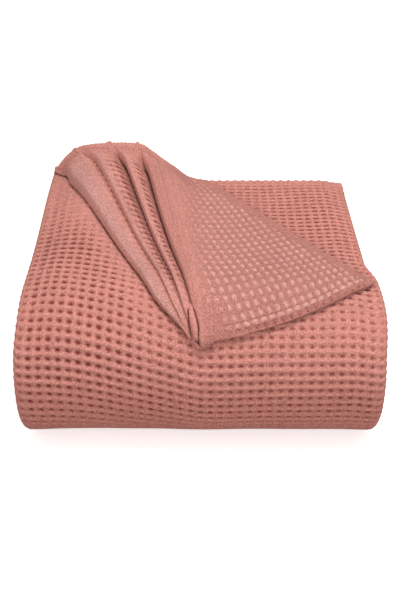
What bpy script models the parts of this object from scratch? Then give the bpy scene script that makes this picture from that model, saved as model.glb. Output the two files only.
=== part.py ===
"""A waffle weave cotton blanket, folded into a stack with one corner gathered and turned over.

Metres, +Z up. X runs to the right and -Y is the front, where the big rounded fold is. The origin is the middle of
the underside. The cloth is one sheet, so the blanket is one solid:

- the stack is one back-and-forth section of its layers, nested in each other round the front fold and joined in
  pairs by small folds at the back and at the front;
- the loose corner comes out of the top layer's back fold, rises over a hump, runs down the top in soft pleats that
  meet at a tip on the front fold, and turns over to the right as a triangular flap.
"""
import math

import bmesh
import bpy

# the cloth
SHEET = 0.003            # thickness of the waffle cloth, pressed in the stack
LOOSE_SHEET = 0.0026     # thickness of the loose corner, where nothing presses on it
HEM_GAP = 0.0024         # air under the loose corner's edges

# the stack
HALF_WIDTH_TOP = 0.176   # half of the width across the top
HALF_WIDTH_FRONT = 0.184  # half of the width round the front fold
FOLD_HEIGHT = 0.160      # outside height of the front fold, on its right half
BACK = 0.158             # how far back the layers reach from the middle
FLAT_LENGTH = 0.240      # flat part of a layer, from the back to where the front fold starts
NESTED = 14              # times that the cloth is nested round the front fold, two layers each
LAYER_PITCH = 0.0058     # from one layer to the next
FRONT_SQUARENESS = 2.15  # 2 is a half circle, more is squarer

# the pile's own shape: how the top departs from level, as heights in metres
TOP_LEVEL = 0.163        # height of the top near the front fold
BACK_RISE = 0.013        # extra height towards the back
BACK_RISE_Y = (-0.05, 0.15)     # where that rise starts and ends
LEFT_RISE = 0.011        # extra height of the left half
LEFT_RISE_X = (0.005, -0.110)   # where that rise starts and ends
HUMP_RISE = 0.030        # extra height of the hump under the pleats, at the back left
HUMP_RISE_Y = (-0.10, 0.14)     # where that rise starts and ends
LEFT_EDGE_SAG = 0.60     # share of the left's rises which is lost again at the left edge
LEFT_EDGE_SAG_X = (-0.12, -0.18)
EDGE_DROP = 0.006        # how far the top layers sag over both sides
EDGE_DROP_X = (0.150, 0.180)    # where the sag starts and ends, from the middle
WIDER_Y = (-0.04, -0.15)        # where the pile starts and ends to widen towards the front fold
SIDE_SWELL = 0.003       # how far the sides stand out at half height
SIDE_UNEVEN = 0.0012     # how far single layers stand out or in at the sides
BACK_UNEVEN = 0.003      # how far single layers end short at the back
ON_FLOOR = 0.0001        # anything lower than this lies flat on the floor

# where the mesh has its points
COLUMNS = (-1.0, -0.93, -0.78, -0.5, -0.15, 0.25, 0.86, 1.0)
OUTER_ARC_STEPS = 14
INNER_ARC_STEPS = 4
UNDERSIDE_STEPS = 1      # the layer on the floor is flat, and stands on its four corners
OUTER_LEG_STEPS = 5
INNER_LEG_STEPS = 3
BACK_FOLD_STEPS = 3

# The loose corner is a fan of lines from the tip on the front fold. Places are given on the pile's top skin:
# x is sideways, and s is the way along the skin from its back edge to the front and down.
TIP_X = 0.0015
TIP_S = 0.308
CREST_S = 0.020
FLAP_CORNER = (0.181, 0.2315)   # the cloth's own right-angled corner
HEM_BOW = 0.007                 # how far the flap's lower edge bows to the front
FLAP_EDGE_TOP = (0.012, 0.020)  # where the flap's upper edge reaches the pile's back edge
FLAP_EDGE_TURN = 0.29           # how far along the upper edge that place is, from the hump

# A row for each line of the gathered part, from the hem on the left to the fold where the flap turns over.
# turn: where it starts round the tip, in degrees; crest_x: where it crosses the hump; bow: sideways, to the right;
# tip, middle, upper: height of the cloth above the pile at the tip, half way and near the hump, in millimetres;
# crest: height of the hump above the floor, in millimetres.
PLEATS = (
    # name             turn   crest_x   bow     tip  middle  upper  crest
    ("left hem",        178, -0.1700,  0.004,   2.0,   1.5,   2.0,  207.0),
    ("A fold",          184, -0.1660,  0.004,   5.0,   8.5,  12.0,  212.0),
    ("A back",          193, -0.1530,  0.003,   6.0,   9.0,  13.0,  220.0),
    ("A dip",           204, -0.1400,  0.003,   4.5,   5.5,   8.0,  226.0),
    ("B fold",          210, -0.1340,  0.003,   8.0,  13.5,  17.0,  229.0),
    ("B back",          219, -0.1230,  0.001,   8.0,  13.0,  16.0,  231.0),
    ("B dip",           229, -0.1100, -0.001,   5.0,   8.0,  10.0,  232.0),
    ("C fold",          235, -0.1050, -0.002,   9.0,  16.0,  19.0,  233.0),
    ("C back",          243, -0.0930, -0.003,   9.0,  15.5,  18.0,  234.0),
    ("C dip",           252, -0.0810, -0.004,   5.0,   9.0,  12.0,  234.0),
    ("flap fold",       258, -0.0750, -0.005,  10.0,  19.0,  22.0,  234.0),
    ("flap shoulder",   266, -0.0640, -0.004,  11.0,  19.5,  23.0,  228.0),
)
# A row for each line of the flap, from the fold to the lower hem.
# along: where it ends on the flap's upper edge, 0 at the hump and 1 at the cloth's corner;
# tip, middle, upper: height above the pile, in millimetres; edge: height of the upper edge above the floor.
FLAP = (
    # name             turn   along    tip  middle  upper   edge
    ("shoulder",        275,   0.10,  10.0,  17.0,  19.0,  207.0),
    ("upper",           286,   0.19,   9.0,  14.0,  12.0,  188.0),
    ("back edge",       297,   0.29,   8.5,  11.0,   6.0,  180.0),
    ("upper middle",    308,   0.42,   8.0,   8.5,   3.5,  180.0),
    ("middle",          319,   0.56,   7.5,   7.0,   3.0,  177.0),
    ("lower middle",    330,   0.70,   7.0,   6.5,   3.0,  174.0),
    ("over the hem",    341,   0.85,   6.0,   5.5,   3.0,  170.0),
    ("lower hem",       352,   1.00,   5.0,   4.0,   4.5,  168.0),
)
HEIGHT_SHARES = (0.0, 0.5, 0.85, 1.0)   # where along a line its four heights are
TIP_RADIUS_X = 0.0105    # the tip's half width
TIP_RADIUS_S = 0.0085    # the tip's reach down the front
FAN_STEPS = 14           # steps along each line
BEHIND = 3               # lines of the flap that go over the hump with the pleats
OVER_STEPS = 7           # steps over the hump and down behind it
TUCK_BACK = 0.0022       # how far past the back edge the corner's cloth meets the top back fold
TUCK_DEPTH = 0.0050      # and how far below the top

DUSTY_ROSE = (0.58, 0.21, 0.175, 1.0)


def ease(value, start, end):
    """0 at the start and before, 1 at the end and past it, and a smooth step between."""
    share = min(1.0, max(0.0, (value - start) / (end - start)))
    return share * share * (3.0 - 2.0 * share)


def mix(start, end, share):
    return start + (end - start) * share


def pile_top(x, y):
    """Height of the pile's top at a place."""
    left = ease(x, *LEFT_RISE_X) * (1.0 - LEFT_EDGE_SAG * ease(x, *LEFT_EDGE_SAG_X))
    rise = BACK_RISE * ease(y, *BACK_RISE_Y) + left * (LEFT_RISE + HUMP_RISE * ease(y, *HUMP_RISE_Y))
    return TOP_LEVEL + rise - EDGE_DROP * ease(abs(x), *EDGE_DROP_X)


def half_width(y, level):
    """Half of the pile's width; level is the share of the height."""
    front = ease(y, *WIDER_Y)
    return mix(HALF_WIDTH_TOP, HALF_WIDTH_FRONT, front) + SIDE_SWELL * math.sin(math.pi * level)


def front_arc(turn, reach):
    """Forward and upward parts of the front fold at a turn, 0 at its top and pi at its bottom."""
    power = 2.0 / FRONT_SQUARENESS
    forward = abs(math.sin(turn)) ** power
    upward = math.copysign(abs(math.cos(turn)) ** power, math.cos(turn))
    return reach * forward, reach * upward


def leg(start, end, height, steps):
    """Points of a flat layer, without the last one."""
    return [(mix(start, end, i / steps), height) for i in range(steps)]


def stack_line():
    """The middle line of the whole sheet in the stack, as (y, height) pairs from the outer layer's lower end."""
    fold_start = BACK - FLAT_LENGTH
    line = []
    for turn_number in range(NESTED):
        share = turn_number / (NESTED - 1)
        inset = SHEET / 2 + turn_number * LAYER_PITCH
        low, high = inset, FOLD_HEIGHT - inset
        reach = (high - low) / 2
        back = BACK - SHEET / 2 - BACK_UNEVEN * (1 + math.sin(2.3 * turn_number))
        leg_steps = OUTER_LEG_STEPS if turn_number == 0 else INNER_LEG_STEPS
        arc_steps = round(mix(OUTER_ARC_STEPS, INNER_ARC_STEPS, share))
        points = leg(back, fold_start, low, UNDERSIDE_STEPS if turn_number == 0 else leg_steps)
        for i in range(arc_steps + 1):
            forward, upward = front_arc(math.pi * (1 - i / arc_steps), reach)
            points.append((fold_start - forward, FOLD_HEIGHT / 2 + upward))
        points += leg(fold_start, back, high, leg_steps)[1:] + [(back, high)]
        if turn_number % 2:
            points.reverse()
        if line:
            line += back_fold(line[-1], points[0])
        line += points
    return line


def back_fold(first, second):
    """Points of the small half round fold that joins two neighbouring layers at the back."""
    middle = (first[1] + second[1]) / 2
    radius = (first[1] - second[1]) / 2
    points = []
    for i in range(1, BACK_FOLD_STEPS):
        turn = math.pi * i / BACK_FOLD_STEPS
        points.append((mix(first[0], second[0], i / BACK_FOLD_STEPS) + abs(radius) * math.sin(turn),
                       middle + radius * math.cos(turn)))
    return points


def line_normals(line):
    """Unit normals of a line, to the left of its direction."""
    normals = []
    for i, _ in enumerate(line):
        before, after = line[max(0, i - 1)], line[min(len(line) - 1, i + 1)]
        y, z = after[0] - before[0], after[1] - before[1]
        length = math.hypot(y, z)
        normals.append((-z / length, y / length))
    return normals


def place_in_stack(column, y, z):
    """A point of the stack: the level section is spread sideways and takes the pile's own height."""
    level = z / FOLD_HEIGHT
    x = column * (half_width(y, level) + SIDE_UNEVEN * math.sin(150.0 * z + 2.0 * column))
    return (x, y, level * pile_top(x, max(y, BACK - FLAT_LENGTH)))


def pile_place(x, s, height):
    """A place above the pile's top skin, and the way out of the skin there."""
    radius = FOLD_HEIGHT / 2
    turn = min(math.pi, max(0.0, (s - FLAT_LENGTH) / radius))
    fold_start = BACK - FLAT_LENGTH
    forward, upward = front_arc(turn, radius)
    y = BACK - s if s < FLAT_LENGTH else fold_start - forward
    z = (radius + upward) * pile_top(x, max(y, fold_start)) / FOLD_HEIGHT
    out = (0.0, -math.sin(turn), math.cos(turn))
    return tuple(p + height * o for p, o in zip((x, y, z), out)), out


def height_along(heights, share):
    """A smooth height along a line, through its heights at HEIGHT_SHARES."""
    slopes = []
    for i, _ in enumerate(heights):
        before, after = max(0, i - 1), min(len(heights) - 1, i + 1)
        slopes.append((heights[after] - heights[before]) / (HEIGHT_SHARES[after] - HEIGHT_SHARES[before]))
    i = max(k for k, start in enumerate(HEIGHT_SHARES[:-1]) if start <= share)
    span = HEIGHT_SHARES[i + 1] - HEIGHT_SHARES[i]
    t = (share - HEIGHT_SHARES[i]) / span
    return (heights[i] * (1 + 2 * t) * (1 - t) ** 2 + slopes[i] * span * t * (1 - t) ** 2
            + heights[i + 1] * t * t * (3 - 2 * t) - slopes[i + 1] * span * t * t * (1 - t))


def fan_line(turn, end, bow, heights):
    """Points of one line of the fan from the tip to its end on the pile, and the ways out of the pile."""
    angle = math.radians(turn)
    start = (TIP_X + TIP_RADIUS_X * math.cos(angle), TIP_S - TIP_RADIUS_S * math.sin(angle))
    lift = HEM_GAP + LOOSE_SHEET / 2
    lifts = [lift + height / 1000 for height in heights[:-1]]
    lifts.append(max(lift, heights[-1] / 1000 - pile_place(*end, 0.0)[0][2]))
    points, outs = [], []
    for i in range(FAN_STEPS + 1):
        share = i / FAN_STEPS
        bend = 4 * bow * share * (1 - share)
        x = mix(start[0], end[0], share) + bend
        s = mix(start[1], end[1], share) + bend
        point, out = pile_place(x, s, height_along(lifts, share))
        points.append(point)
        outs.append(out)
    return points, outs


def over_the_hump(point):
    """Points from the crest round the hump's back and down into the pile's top back fold."""
    x, y, z = point
    back = BACK + TUCK_BACK - y
    drop = z - (pile_top(x, BACK) - TUCK_DEPTH)
    points, outs = [], []
    for i in range(1, OVER_STEPS + 1):
        turn = math.pi / 2 * i / OVER_STEPS
        points.append((x, y + back * math.sin(turn), z - drop * (1 - math.cos(turn))))
        outs.append((0.0, math.sin(turn), math.cos(turn)))
    return points, outs


def flap_end(along):
    """Where a line of the flap ends on its upper edge."""
    hump = (PLEATS[-1][2], CREST_S)
    turn = FLAP_EDGE_TURN
    if along < turn:
        return tuple(mix(a, b, along / turn) for a, b in zip(hump, FLAP_EDGE_TOP))
    return tuple(mix(a, b, (along - turn) / (1 - turn)) for a, b in zip(FLAP_EDGE_TOP, FLAP_CORNER))


def stack_mesh():
    """The sheet in the stack, with its two skins and its edges."""
    line = stack_line()
    normals = line_normals(line)
    vertices = []
    for side in (0.5, -0.5):
        for (y, z), (normal_y, normal_z) in zip(line, normals):
            skin_y, skin_z = y + side * SHEET * normal_y, z + side * SHEET * normal_z
            vertices += [place_in_stack(column, skin_y, skin_z if skin_z > ON_FLOOR else 0.0) for column in COLUMNS]
    wide = len(COLUMNS)
    starts = [i * wide + j for i in range(len(line) - 1) for j in range(wide - 1)]
    return thick_mesh("stack", vertices, [(k, k + 1, k + wide + 1, k + wide) for k in starts])


def corner_mesh():
    """The loose corner's sheet, with its two skins and its edges."""
    rows, outs = [], []
    crest = [fan_line(turn, (crest_x, CREST_S), bow, heights) for _, turn, crest_x, bow, *heights in PLEATS]
    flap = [fan_line(turn, flap_end(along), HEM_BOW * along, heights) for _, turn, along, *heights in FLAP]
    over = len(PLEATS) + BEHIND
    for number, (points, ways) in enumerate(crest + flap):
        if number < over:
            more, more_ways = over_the_hump(points[-1])
            points, ways = points + more, ways + more_ways
        rows.append(points)
        outs.append(ways)
    index, skins = {}, [[], []]
    for i, (points, ways) in enumerate(zip(rows, outs)):
        for j, (point, out) in enumerate(zip(points, ways)):
            index[i, j] = len(skins[0])
            for skin, side in zip(skins, (0.5, -0.5)):
                skin.append(tuple(p + side * LOOSE_SHEET * o for p, o in zip(point, out)))
    faces = [(index[i, j], index[i + 1, j], index[i + 1, j + 1], index[i, j + 1])
             for i, j in index if (i + 1, j + 1) in index and (i, j + 1) in index]
    return thick_mesh("corner", skins[0] + skins[1], faces)


def thick_mesh(name, vertices, faces):
    """A closed mesh from the faces of its first skin; the second half of the vertices is the second skin."""
    half = len(vertices) // 2
    sides = {}
    for face in faces:
        for a, b in zip(face, face[1:] + face[:1]):
            if sides.pop((b, a), None) is None:
                sides[a, b] = True
    back = [tuple(v + half for v in reversed(face)) for face in faces]
    walls = [(b, a, a + half, b + half) for a, b in sides]
    mesh = bpy.data.meshes.new(name)
    mesh.from_pydata(vertices, [], list(faces) + back + walls)
    shape = bmesh.new()
    shape.from_mesh(mesh)
    bmesh.ops.triangulate(shape, faces=shape.faces[:])
    bmesh.ops.recalc_face_normals(shape, faces=shape.faces[:])
    shape.to_mesh(mesh)
    shape.free()
    return mesh


def waffle_cotton():
    """Dusty rose cotton, matt."""
    material = bpy.data.materials.new("waffle_cotton")
    material.use_nodes = True
    surface = material.node_tree.nodes["Principled BSDF"]
    surface.inputs["Base Color"].default_value = DUSTY_ROSE
    surface.inputs["Roughness"].default_value = 0.95
    surface.inputs["Metallic"].default_value = 0.0
    return material


def main():
    for item in list(bpy.data.objects):
        bpy.data.objects.remove(item)
    blanket = bpy.data.objects.new("blanket", stack_mesh())
    bpy.context.scene.collection.objects.link(blanket)
    blanket.data.materials.append(waffle_cotton())
    corner = bpy.data.objects.new("loose_corner", corner_mesh())
    bpy.context.scene.collection.objects.link(corner)
    corner.hide_render = True
    corner.display_type = "WIRE"
    join = blanket.modifiers.new("join the loose corner", "BOOLEAN")
    join.operation = "UNION"
    join.solver = "EXACT"
    join.object = corner
    blanket.data.shade_smooth()
    blanket.data.set_sharp_from_angle(angle=math.radians(50))


main()
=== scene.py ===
# Folded waffle weave blanket: one sheet of cotton, folded into a thick stack round a big front fold, with its
# loose top corner gathered into pleats and turned over. Metres, +Z up, -Y towards the front fold.
import math

import bpy
import numpy as np
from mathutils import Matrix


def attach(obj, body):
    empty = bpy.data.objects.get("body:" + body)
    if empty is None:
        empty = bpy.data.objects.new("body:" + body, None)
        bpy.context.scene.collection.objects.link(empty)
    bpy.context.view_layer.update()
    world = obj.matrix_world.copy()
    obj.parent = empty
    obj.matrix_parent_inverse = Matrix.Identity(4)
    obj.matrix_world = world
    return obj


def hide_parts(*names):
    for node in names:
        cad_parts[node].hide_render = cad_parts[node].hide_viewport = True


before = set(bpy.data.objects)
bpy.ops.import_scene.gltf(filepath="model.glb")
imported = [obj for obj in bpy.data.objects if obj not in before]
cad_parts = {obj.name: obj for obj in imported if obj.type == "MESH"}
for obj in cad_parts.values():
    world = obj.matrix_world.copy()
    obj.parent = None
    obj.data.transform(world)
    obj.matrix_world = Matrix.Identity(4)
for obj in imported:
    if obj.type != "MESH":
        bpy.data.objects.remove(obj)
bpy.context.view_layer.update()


def hexColour(text):
    # sRGB hex to the linear values that the shaders want
    parts = [int(text[i:i + 2], 16) / 255 for i in (1, 3, 5)]
    return tuple(c / 12.92 if c <= 0.04045 else ((c + 0.055) / 1.055) ** 2.4 for c in parts) + (1.0,)


def addNode(tree, kind, settings=None, links=None):
    # adds a node; settings go to its properties, or to its inputs when named by number or by "in:" and a name
    node = tree.nodes.new(kind)
    for key, value in (settings or {}).items():
        if isinstance(key, int):
            node.inputs[key].default_value = value
        elif key.startswith("in:"):
            node.inputs[key[3:]].default_value = value
        else:
            setattr(node, key, value)
    for key, source in (links or {}).items():
        tree.links.new(source, node.inputs[key])
    return node


def ease(value, start, end):
    # 0 at the start and before, 1 at the end and past it, and a smooth step between
    share = np.clip((value - start) / (end - start), 0.0, 1.0)
    return share * share * (3.0 - 2.0 * share)


def mix(start, end, share):
    return start + (end - start) * share


def gridNormals(points):
    # unit normals of a grid of points (rows, columns, 3)
    along = np.gradient(points, axis=0)
    across = np.gradient(points, axis=1)
    normals = np.cross(across, along)
    return normals / np.maximum(np.linalg.norm(normals, axis=2, keepdims=True), 1e-12)


def lengthsAlong(points):
    # how far along a line each of its points is
    return np.concatenate([[0.0], np.cumsum(np.linalg.norm(np.diff(points, axis=0), axis=1))])


def newObject(name, data):
    item = bpy.data.objects.new(name, data)
    bpy.context.scene.collection.objects.link(item)
    return item


def addAttributes(mesh, attributes):
    # one value for each point; an attribute is given as its label, kind and values
    for label, kind, values in attributes:
        layer = mesh.attributes.new(label, kind, "POINT")
        layer.data.foreach_set("value" if kind == "FLOAT" else "vector", np.array(values, np.float32).ravel())


def plainMaterial(name, settings):
    # a material of one finish; the settings are the shader's own sockets
    material = bpy.data.materials.new(name)
    material.use_nodes = True
    surface = material.node_tree.nodes["Principled BSDF"]
    for socket, value in settings.items():
        surface.inputs[socket].default_value = value
    return material


# the folded stack; pairs are a place where something starts and one where it ends, unless a note says left and right
pile = {
    "sheet": 0.003,                            # thickness of the pressed cloth
    "nested": 14, "layerPitch": 0.0058,        # turns of the sheet, and from one layer to the next
    "foldHeight": 0.160, "squareness": 2.15,   # height of the level stack, and how square its front fold is
    "back": 0.158, "flatLength": 0.240,        # where the back is, and how far the layers run straight from there
    "backUneven": 0.003,                       # how much the folds at the back differ
    "topLevel": 0.163,                         # height of the top, without the rises below
    "backRise": 0.013, "backRiseY": (-0.05, 0.15),                                   # higher towards the back
    "leftRise": 0.011, "leftRiseX": (0.005, -0.110),                                 # and towards the left
    "humpRise": 0.030, "humpRiseY": (-0.10, 0.14),                                   # most of all under the pleats
    "leftEdgeSag": 0.45, "leftEdgeSagX": (-0.12, -0.18),                             # share lost at the left edge
    "edgeDrop": 0.004, "edgeDropX": (0.150, 0.180),                                  # soft edges at both sides
    "halfWidthTop": 0.1768, "halfWidthFront": 0.1836, "widerY": (-0.024, -0.066),    # top and front fold
    "wider": (0.0057, 0.0024), "widerFront": 0.2,    # left and right: wider at the top; share of it in front
    "footWider": (0.0045, 0.0025),                   # left and right: wider at the front's foot
    "shoulder": (-0.0022, 0.0034), "shoulderLevel": (0.72, 1.0),   # left and right: wider at the front's top
    "sideSwell": 0.001,                              # the sides swell out at half height
}
foldStart = pile["back"] - pile["flatLength"]


def pileTop(x, y):
    left = ease(x, *pile["leftRiseX"]) * (1.0 - pile["leftEdgeSag"] * ease(x, *pile["leftEdgeSagX"]))
    rise = pile["backRise"] * ease(y, *pile["backRiseY"])
    rise = rise + left * (pile["leftRise"] + pile["humpRise"] * ease(y, *pile["humpRiseY"]))
    return pile["topLevel"] + rise - pile["edgeDrop"] * ease(np.abs(x), *pile["edgeDropX"])


def halfWidth(y, level, side):
    # side is -1 on the left and 1 on the right
    level = np.clip(level, 0.0, 1.0)
    wider = np.where(side < 0, *pile["wider"]) * level
    top = pile["halfWidthTop"] + wider
    front = pile["halfWidthFront"] + pile["widerFront"] * wider
    front = front + np.where(side < 0, *pile["footWider"]) * (1.0 - level) ** 2
    front = front + np.where(side < 0, *pile["shoulder"]) * ease(level, *pile["shoulderLevel"])
    return mix(top, front, ease(y, *pile["widerY"])) + pile["sideSwell"] * np.sin(math.pi * level)


def frontArc(turn, reach):
    # forward and upward parts of the front fold at a turn, 0 at its top and pi at its bottom
    power = 2.0 / pile["squareness"]
    forward = np.abs(np.sin(turn)) ** power
    upward = np.sign(np.cos(turn)) * np.abs(np.cos(turn)) ** power
    return reach * forward, reach * upward


def placeInPile(x, y, z):
    # a point of the level section takes the pile's own height
    return np.stack(np.broadcast_arrays(x, y, z / pile["foldHeight"] * pileTop(x, np.maximum(y, foldStart))), axis=-1)


def stackLine():
    # the middle line of the whole sheet, from the outer layer's lower end, and where each turn's back fold is
    roundPoints, flatPoints, foldPoints = 121, 61, 15
    line, folds = [], []
    for turnNumber in range(pile["nested"]):
        low = pile["sheet"] / 2 + turnNumber * pile["layerPitch"]
        high = pile["foldHeight"] - low
        back = pile["back"] - pile["sheet"] / 2 - pile["backUneven"] * (1 + math.sin(2.3 * turnNumber))
        forward, upward = frontArc(np.linspace(math.pi, 0.0, roundPoints), (high - low) / 2)
        flat = np.linspace(0.0, 1.0, flatPoints)
        points = np.concatenate([
            np.stack([mix(back, foldStart, flat[:-1]), np.full(flatPoints - 1, low)], 1),
            np.stack([foldStart - forward, pile["foldHeight"] / 2 + upward], 1),
            np.stack([mix(foldStart, back, flat[1:]), np.full(flatPoints - 1, high)], 1)])
        if turnNumber % 2:
            points = points[::-1]
        if line:
            first, second = line[-1][-1], points[0]
            turns = np.linspace(0.0, math.pi, foldPoints)[1:-1]
            radius = (first[1] - second[1]) / 2
            line.append(np.stack([mix(first[0], second[0], turns / math.pi) + abs(radius) * np.sin(turns),
                                  (first[1] + second[1]) / 2 + radius * np.cos(turns)], 1))
            folds.append(sum(len(part) for part in line) - foldPoints // 2 - 1)
        line.append(points)
    line = np.concatenate(line)
    lengths = lengthsAlong(line)
    return line, lengths, lengths[folds]


class SheetLine:
    # places and ways out along the middle line, by length
    def __init__(self, line, lengths):
        step = 0.0008
        even = np.arange(0.0, lengths[-1], step)
        points = np.stack([np.interp(even, lengths, line[:, i]) for i in (0, 1)], 1)
        for _ in range(3):   # rounds off the small corners where legs meet folds
            points[1:-1] = (points[:-2] + 2 * points[1:-1] + points[2:]) / 4
        way = np.gradient(points, axis=0)
        way /= np.linalg.norm(way, axis=1, keepdims=True)
        self.even, self.points, self.normals = even, points, np.stack([-way[:, 1], way[:, 0]], 1)

    def at(self, length):
        y, z, outY, outZ = (np.interp(length, self.even, column) for column in (*self.points.T, *self.normals.T))
        size = np.hypot(outY, outZ)
        return y, z, outY / size, outZ / size


stackPoints, stackLengths, backFolds = stackLine()
sheetLine = SheetLine(stackPoints, stackLengths)
topBack = float(backFolds[0])   # length at the middle of the top back fold
print("stack line: %.2f m of cloth" % stackLengths[-1])


def clothMesh(name, skins, columnSets, cells, depths, shades, sharp, turned=False):
    # A closed sheet from two skins, each an array (rows, columns, 3). columnSets holds, for each skin, the list of
    # columns that each row uses; cells (rows, columns, 2) are the weave's own coordinates, depths the pits' depth.
    numbers, points = [], []
    for side, skin in enumerate(skins):
        index = {}
        for row, columns in enumerate(columnSets[side]):
            for column in columns:
                index[row, column] = len(points)
                points.append((skin[row, column], cells[row, column], depths[side][row, column],
                               shades[row, column], sharp[row, column]))
        numbers.append(index)
    faces = []
    rowCount = skins[0].shape[0]
    for side, index in enumerate(numbers):
        for row in range(rowCount - 1):
            near, far = columnSets[side][row], columnSets[side][row + 1]
            shared = near if len(near) <= len(far) else far
            for first, last in zip(shared, shared[1:]):
                nearPart = [index[row, c] for c in near if first <= c <= last] if near is not shared else \
                    [index[row, first], index[row, last]]
                farPart = [index[row + 1, c] for c in far if first <= c <= last] if far is not shared else \
                    [index[row + 1, first], index[row + 1, last]]
                face = nearPart + farPart[::-1]
                faces.append(face if side == 0 else face[::-1])
    outside, inside = numbers
    for row in range(rowCount - 1):   # the side edges
        for end in (0, -1):
            a, b = columnSets[0][row][end], columnSets[0][row + 1][end]
            face = [outside[row, a], outside[row + 1, b], inside[row + 1, b], inside[row, a]]
            faces.append(face if end == 0 else face[::-1])
    for row in (0, rowCount - 1):     # the two ends
        columns = sorted(set(columnSets[0][row]) & set(columnSets[1][row]))
        for first, last in zip(columns, columns[1:]):
            above = [outside[row, c] for c in columnSets[0][row] if first <= c <= last]
            below = [inside[row, c] for c in columnSets[1][row] if first <= c <= last]
            face = below + above[::-1]
            faces.append(face if row == 0 else face[::-1])
    if turned:   # its rows run the other way round the stack
        faces = [face[::-1] for face in faces]
    return meshObject(name, points, faces)


def meshObject(name, points, faces):
    # each point is its place, its place in the weave, the pits' depth, its shade, and how narrow the pits are
    places, cells, depths, shades, sharps = zip(*points)
    mesh = bpy.data.meshes.new(name)
    mesh.from_pydata([tuple(place) for place in places], [], faces)
    addAttributes(mesh, (("cell", "FLOAT2", cells), ("deep", "FLOAT", np.array(depths) / waffle["depth"]),
                         ("shade", "FLOAT", shades), ("sharp", "FLOAT", sharps)))
    mesh.shade_smooth()
    return newObject(name, mesh)


waffle = {
    "pitch": 0.00895,      # from one rib to the next, along the cloth
    "depth": 0.0034,       # a full pit, to which the pits of each piece are compared
    "ribHeight": 0.0024,   # how far the outer ply's ribs stand above the pressed sheet
    "powerAcross": 1.6, "powerAlong": 1.3,   # how steep the pits' side walls, and their upper and lower walls, are
    "lowRib": 0.25,        # how much lower the ribs along the cloth are, as a share of the depth
    "skew": 0.85,          # below 1, the pits' bottoms lie nearer their upper walls
    "uneven": 0.07,        # how much single pits differ in depth
}
pitchAlong = waffle["pitch"]


def pocketShape(tree, cell, sharp):
    # 0 on the ribs and 1 at a pit's bottom; the same nodes serve the relief and the colour
    parts = addNode(tree, "ShaderNodeSeparateXYZ", links={0: cell})
    walls = []
    for axis, power, skew in ((0, waffle["powerAcross"], 1.0), (1, waffle["powerAlong"], waffle["skew"])):
        inCell = addNode(tree, "ShaderNodeMath", {"operation": "FRACT"}, {0: parts.outputs[axis]})
        skewed = addNode(tree, "ShaderNodeMath", {"operation": "POWER", 1: skew}, {0: inCell.outputs[0]})
        centred = addNode(tree, "ShaderNodeMath", {"operation": "MULTIPLY_ADD", 1: 2.0, 2: -1.0},
                          {0: skewed.outputs[0]})
        away = addNode(tree, "ShaderNodeMath", {"operation": "ABSOLUTE"}, {0: centred.outputs[0]})
        climb = addNode(tree, "ShaderNodeMath", {"operation": "POWER", 1: power}, {0: away.outputs[0]})
        walls.append(addNode(tree, "ShaderNodeMath", {"operation": "SUBTRACT", 0: 1.0}, {1: climb.outputs[0]}))
    # the ribs that run along the cloth are a little lower than those across it
    lowered = addNode(tree, "ShaderNodeMath", {"operation": "MULTIPLY_ADD", 1: 1.0 - waffle["lowRib"],
                                               2: waffle["lowRib"]}, {0: walls[0].outputs[0]})
    both = addNode(tree, "ShaderNodeMath", {"operation": "MULTIPLY", "use_clamp": True},
                   {0: lowered.outputs[0], 1: walls[1].outputs[0]})
    return addNode(tree, "ShaderNodeMath", {"operation": "POWER"}, {0: both.outputs[0], 1: sharp}).outputs[0]


cotton = {
    "rib": "#BF857A", "crest": "#BF8479",     # smooth cloth, and the painted highlight tone of the raised ribs
    "pitShading": "#7A3930", "foldShade": "#451914",   # painted shade down in a pit, and painted shade down in a fold
    "dotHighlight": "#E2B0A5", "fuzz": "#EBD2CB",    # painted highlight on the raised dots, and the sheen of loose fibres
    "foldSheenShade": "#B4867F",                        # painted sheen and shade on the pleats' crowns: greyer and darker
    "yarn": 0.0009,                           # yarns drawn at 0.9 mm, nearly twice the real 0.5 mm, so that they show
    "tufts": 700.0, "dye": 22.0,              # to a metre: tufts of about 1.4 mm, and patches of about 45 mm
    "pit": (0.45, 0.95), "dot": (-0.06, -0.45), "ribHighlight": (0.30, 0.0),   # how deep each painted colour starts and is full: pit shade, dot highlight, rib highlight
    "roughness": 0.95, "specular": 0.08, "sheen": 0.18, "sheenRoughness": 0.45,
    "bump": 0.35, "bumpHeight": 0.0002, "tuftBump": 0.6,
    "ribGain": 1.5,                           # the ribs round a pit of two thirds the full depth get the full painted highlight
    "yarnTone": 0.035, "tuftTone": (0.36, 0.64, 0.60, 1.40), "dyeTone": (0.3, 0.7, 0.96, 1.03),   # noise, and tone
}


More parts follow.
